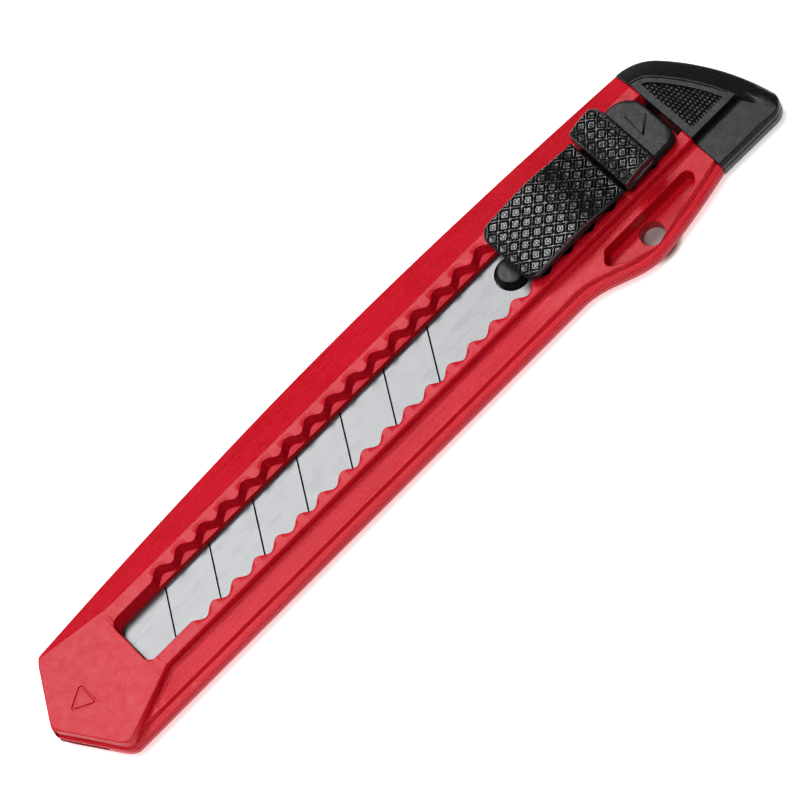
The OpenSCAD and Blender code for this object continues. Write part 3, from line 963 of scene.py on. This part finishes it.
def build_button():
    bm = bmesh.new()
    curve = profile_height([(BUTTON_X0 + dx, z) for dx, z in PAD_CREST])

    def pattern(x, y):
        return knurl(x - BUTTON_X0 - 0.9, y, 1.46, 1.32, 1.93, 0.25) - 0.3

    def half_of(x):
        return max(0.5, round_half(x, BUTTON_X0, BUTTON_X1 + 0.4, PAD_W, 2.3, 0.5))

    plate(
        bm, end_stations(BUTTON_X0, BUTTON_X1, 0.1), half_of, lambda x, y: curve(x),
        lambda x: PAD_LOW, 0.34, pattern,
    )
    outline = box_outline(POST_X0 + 1.9, POST_X0 + 11.1, -WELL_W + 0.1, WELL_W - 0.1, 0.4)
    add_stack(bm, outline, [(2.2, -0.25), (2.4, 0), (PAD_LOW + 0.3, 0)])
    tidy(bm)
    button = to_object("thumb_button_detailed", bm)
    return piece(button, "lock_button", BLACK, ["thumb_button"], 50)


def build_carrier():
    bm = bmesh.new()
    sled_top = -BLADE_T
    add_stack(
        bm, box_outline(SLED_X0, SLED_X1, -SLED_W, SLED_W, 0.8),
        [(SLED_LOW, -0.3), (SLED_LOW + 0.3, 0), (sled_top - 0.15, 0), (sled_top, -0.15)],
    )
    ring = circle_outline(PIN_X, 0, PIN_R)
    add_stack(
        bm, ring,
        [(-1.0, 0), (0.1, 0), (0.25, -0.05), (1.0, -0.5), (1.2, -0.54), (1.5, -0.56),
         (1.57, -0.62), (1.6, -0.74), (1.58, -1.5)],
    )
    # hollow post round the button's stem
    outer = box_outline(POST_X0, POST_X1, -POST_W, POST_W, 0.5)
    well = box_outline(POST_X0 + 1.8, POST_X0 + 11.2, -WELL_W, WELL_W, 0.3)
    walls = [(outer, -1.0, 0), (outer, 2.85, 0), (outer, 3.0, -0.15)]
    walls += [(well, 3.0, 0.12), (well, 2.88, 0), (well, -0.2, 0)]
    add_skin(bm, [[(x, y, z) for x, y in ring_offset(outline, d)] for outline, z, d in walls])
    add_stack(
        bm, box_outline(HUMP_X0 - 0.6, SLED_X1 + 0.2, -4.2, 4.2, 0.4),
        [(-1.0, 0), (1.2, 0), (1.3, -0.1)],
    )
    add_stack(
        bm, box_outline(HUMP_X0, TONGUE_X1 - 0.6, -4.2, 4.2, 0.4), [(0, 0), (RIM_H + 0.9, 0)]
    )
    # knurled thumb stop
    rise = profile_height([(HUMP_X0 + dx, z) for dx, z in HUMP_CREST])

    def pattern(x, y):
        grip = knurl(x - HUMP_X0 + 0.25, y + 0.55, 1.28, 1.28, 1.8, 0.9) - 0.26
        return grip * smooth((HUMP_X1 - 0.1 - x) / 0.5)

    def crown(x, y):
        return rise(x) - 0.1 * (y / HUMP_W) ** 2

    def hump_half(x):
        return max(0.5, round_half(x, HUMP_X0, HUMP_X1 + 0.4, HUMP_W, 0.5, 2.2))

    def hump_low(x):
        past = x - HUMP_X0
        return mix(4.5, 5.6, smooth((past - 0.8) / 5.0)) if past < 6.0 else 5.0

    plate(
        bm, end_stations(HUMP_X0, HUMP_X1 + 0.4, 0.1), hump_half, crown, hump_low, 0.34, pattern, 144
    )
    # tongue behind the stop
    tongue = fillet(
        [(HUMP_X0 + 0.1, -6.4), (TONGUE_X1, -6.4), (TONGUE_X1, 6.4), (HUMP_X0 + 0.1, 6.4)],
        [0.3, 2.9, 5.2, 0.3], 16, closed=True,
    )
    z0, z1 = RIM_H + 0.3, RIM_H + 2.4
    add_stack(
        bm, tongue,
        [(z0, -0.25), (z0 + 0.2, 0), (z1 - 1.2, 0), (z1 - 1.05, -0.04), (z1 - 0.96, -0.22),
         (z1 - 0.72, -0.24), (z1 - 0.66, -0.06), (z1 - 0.3, -0.1), (z1 - 0.1, -0.2),
         (z1 - 0.02, -0.36), (z1, -0.5)],
    )
    corners = [(HUMP_X1 + 1.55, -2.2), (HUMP_X1 + 4.85, 0.62), (HUMP_X1 + 1.85, 3.15)]
    arrow = fillet(corners, [0.25] * 3, 4, closed=True)
    add_stack(bm, arrow, [(z1 - 0.3, 0.0), (z1 + 0.06, 0.0), (z1 + 0.18, -0.1), (z1 + 0.18, -0.3)])
    tidy(bm)
    carrier = to_object("blade_carrier_detailed", bm)
    return piece(carrier, "slider", BLACK, ["blade_carrier"], 50)


# ---------------------------------------------------------------- blade
def blade_profile(drop, half=BLADE_HALF):
    """Cross-section of the blade; drop lowers its upper face, for a score groove."""
    top = -drop
    edge = -BLADE_T / 2
    grind = -half + GRIND_W
    return [
        (-half, edge - 0.015), (-half + 0.35, edge - 0.09), (grind, -BLADE_T), (0.0, -BLADE_T),
        (half - 0.05, -BLADE_T), (half, -BLADE_T + 0.05), (half, top - 0.05), (half - 0.05, top),
        (half * 0.4, top), (0.0, top), (-half * 0.4, top), (grind, top),
        (-half + 0.35, min(edge + 0.09, top)), (-half, edge + 0.015),
    ]


def blade_row(s, lean, drop, half=BLADE_HALF):
    return [(s + y * lean, y, z) for y, z in blade_profile(drop, half)]


def blade_mesh(s0, s1, square_end=False):
    bm = bmesh.new()
    gap, chamfer, depth = 0.03, 0.11, 0.2
    rows = [
        blade_row(s0 + gap, SCORE_LEAN, depth * 0.45),
        blade_row(s0 + gap + 1.4 * chamfer, SCORE_LEAN, 0.0),
        blade_row(mix(s0, s1, 0.5), SCORE_LEAN * (0.5 if square_end else 1), 0.0),
    ]
    if square_end:
        rows += [blade_row(s1 - 3.0, 0, 0.0), blade_row(s1, 0, 0.0, BLADE_HALF - 3.0)]
    else:
        rows += [blade_row(s1 - gap - chamfer, SCORE_LEAN, 0.0), blade_row(s1 - gap, SCORE_LEAN, depth)]
    add_skin(bm, rows)
    tidy(bm)
    return bm


def build_blade():
    for i in range(1, SEGMENTS + 1):
        s1 = SCORE_X0 - (SEGMENTS - i) * SEGMENT_PITCH
        obj = to_object(f"blade_segment_{i}_detailed", blade_mesh(s1 - SEGMENT_PITCH, s1))
        piece(obj, "slider", STEEL, [f"blade_segment_{i}"])
    tang = to_object("blade_tang_detailed", blade_mesh(SCORE_X0, TANG_END, True))

    def hole(bm):
        ring = circle_outline(PIN_X, 0, PIN_HOLE_R, 80)
        add_stack(bm, ring, [(-0.7, 0.04), (-0.46, 0), (-0.05, 0), (0.05, 0.1)])

    carve(tang, [cutter("pin_hole_cutter", hole)])
    piece(tang, "slider", STEEL, ["blade_tang"])


build_front_shell()
build_back_shell()
build_cap()
build_carrier()
build_button()
build_blade()
for name in ("button_spring", "detent_spring"):
    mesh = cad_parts[name].data
    mesh.materials.clear()
    mesh.materials.append(SPRING)

# ---------------------------------------------------------------- floor, light and camera
GLOW = 0.4
PAINTED_SHADE_R = 5.0  # radius of painted shade under the hanging hole: there the floor's colour is painted darker and its glow is cut


def floor_material():
    mat, tree, shader = node_material("pale_floor")
    tone = spread_range(tree, noise(tree, 25, detail=3), 0, 1)
    coord = tree.nodes.new("ShaderNodeTexCoord")
    place = tree.nodes.new("ShaderNodeMapping")
    place.inputs["Location"].default_value = (-HANG_X / PAINTED_SHADE_R, -(HANG_Y + SEAT_Y) / PAINTED_SHADE_R, 0)
    place.inputs["Scale"].default_value = (1 / (PAINTED_SHADE_R * MM),) * 3
    painted_shade_ball = tree.nodes.new("ShaderNodeTexGradient")
    painted_shade_ball.gradient_type = "SPHERICAL"
    tree.links.new(coord.outputs["Object"], place.inputs["Vector"])
    tree.links.new(place.outputs["Vector"], painted_shade_ball.inputs["Vector"])
    # painted shade: near the hanging hole the floor's glow fades out and its colour is blended to a dark
    # brownish grey
    glow = spread_range(tree, painted_shade_ball.outputs["Fac"], GLOW, 0.0, 0.05, 0.3)
    painted_shade = spread_range(tree, painted_shade_ball.outputs["Fac"], 0.0, 1.0, 0.05, 0.3)
    pale = blend_colour(tree, tone, (0.90, 0.90, 0.90), (0.93, 0.93, 0.93))
    colour = blend_colour(tree, painted_shade, pale, (0.35, 0.30, 0.29))
    tree.links.new(glow, shader.inputs["Emission Strength"])
    tree.links.new(colour, shader.inputs["Base Color"])
    shader.inputs["Emission Color"].default_value = (1, 1, 1, 1)
    shader.inputs["Roughness"].default_value = 0.9
    return mat


floor_mesh = bmesh.new()
bmesh.ops.create_grid(floor_mesh, x_segments=8, y_segments=8, size=0.9)
floor = to_object("floor", floor_mesh)
floor.data.materials.append(floor_material())


def area_light(name, place, target, width, height, power):
    data = bpy.data.lights.new(name, "AREA")
    data.shape = "RECTANGLE"
    data.size, data.size_y, data.energy = width, height, power
    lamp = bpy.data.objects.new(name, data)
    lamp.location = place
    aim = (Vector(target) - Vector(place)).to_track_quat("-Z", "Y")
    lamp.rotation_euler = aim.to_euler()
    bpy.context.scene.collection.objects.link(lamp)
    return lamp


CENTRE = (0.0, 0.0, SEAT_Z * MM)
area_light("sheen_softbox", (-0.05, 0.40, 0.80), CENTRE, 0.6, 0.24, 4.4)
area_light("overhead_key", (-0.12, -0.12, 0.90), CENTRE, 0.35, 0.35, 4.0)
area_light("front_fill", (-0.30, -0.75, 0.80), CENTRE, 0.5, 0.08, 2.4)
area_light("side_fill", (-0.80, 0.45, 0.60), CENTRE, 0.4, 0.3, 1.0)

world = bpy.data.worlds.new("studio")
bpy.context.scene.world = world
world.use_nodes = True
backdrop = world.node_tree.nodes["Background"]
backdrop.inputs["Color"].default_value = (1, 1, 1, 1)
backdrop.inputs["Strength"].default_value = 0.08
bpy.context.scene.view_settings.view_transform = "Standard"
bpy.context.scene.view_settings.look = "Medium High Contrast"

ELEVATION, AZIMUTH, ROLL = math.radians(62.98), math.radians(8.30), math.radians(37.6)
DISTANCE, LENS, SENSOR = 0.7339, 199.3, 36.0
AIM = Vector((-0.26, -1.864 + SEAT_Y, SEAT_Z)) * MM


def add_camera():
    level = math.cos(ELEVATION)
    ahead = Vector((math.sin(AZIMUTH) * level, math.cos(AZIMUTH) * level, -math.sin(ELEVATION)))
    right = Vector((math.cos(AZIMUTH), -math.sin(AZIMUTH), 0))
    up = right.cross(ahead)
    picture_right = right * math.cos(ROLL) - up * math.sin(ROLL)
    picture_up = right * math.sin(ROLL) + up * math.cos(ROLL)
    lens = bpy.data.cameras.new("camera")
    lens.lens, lens.sensor_width = LENS, SENSOR
    lens.clip_start, lens.clip_end = 0.01, 10
    pose = Matrix((picture_right, picture_up, -ahead)).transposed().to_4x4()
    pose.translation = AIM - ahead * DISTANCE
    camera = bpy.data.objects.new("camera", lens)
    camera.matrix_world = pose
    bpy.context.scene.collection.objects.link(camera)
    return camera


bpy.context.scene.camera = add_camera()

bpy.context.view_layer.update()


def plain(box):
    return [[float(v) for v in corner] for corner in box]
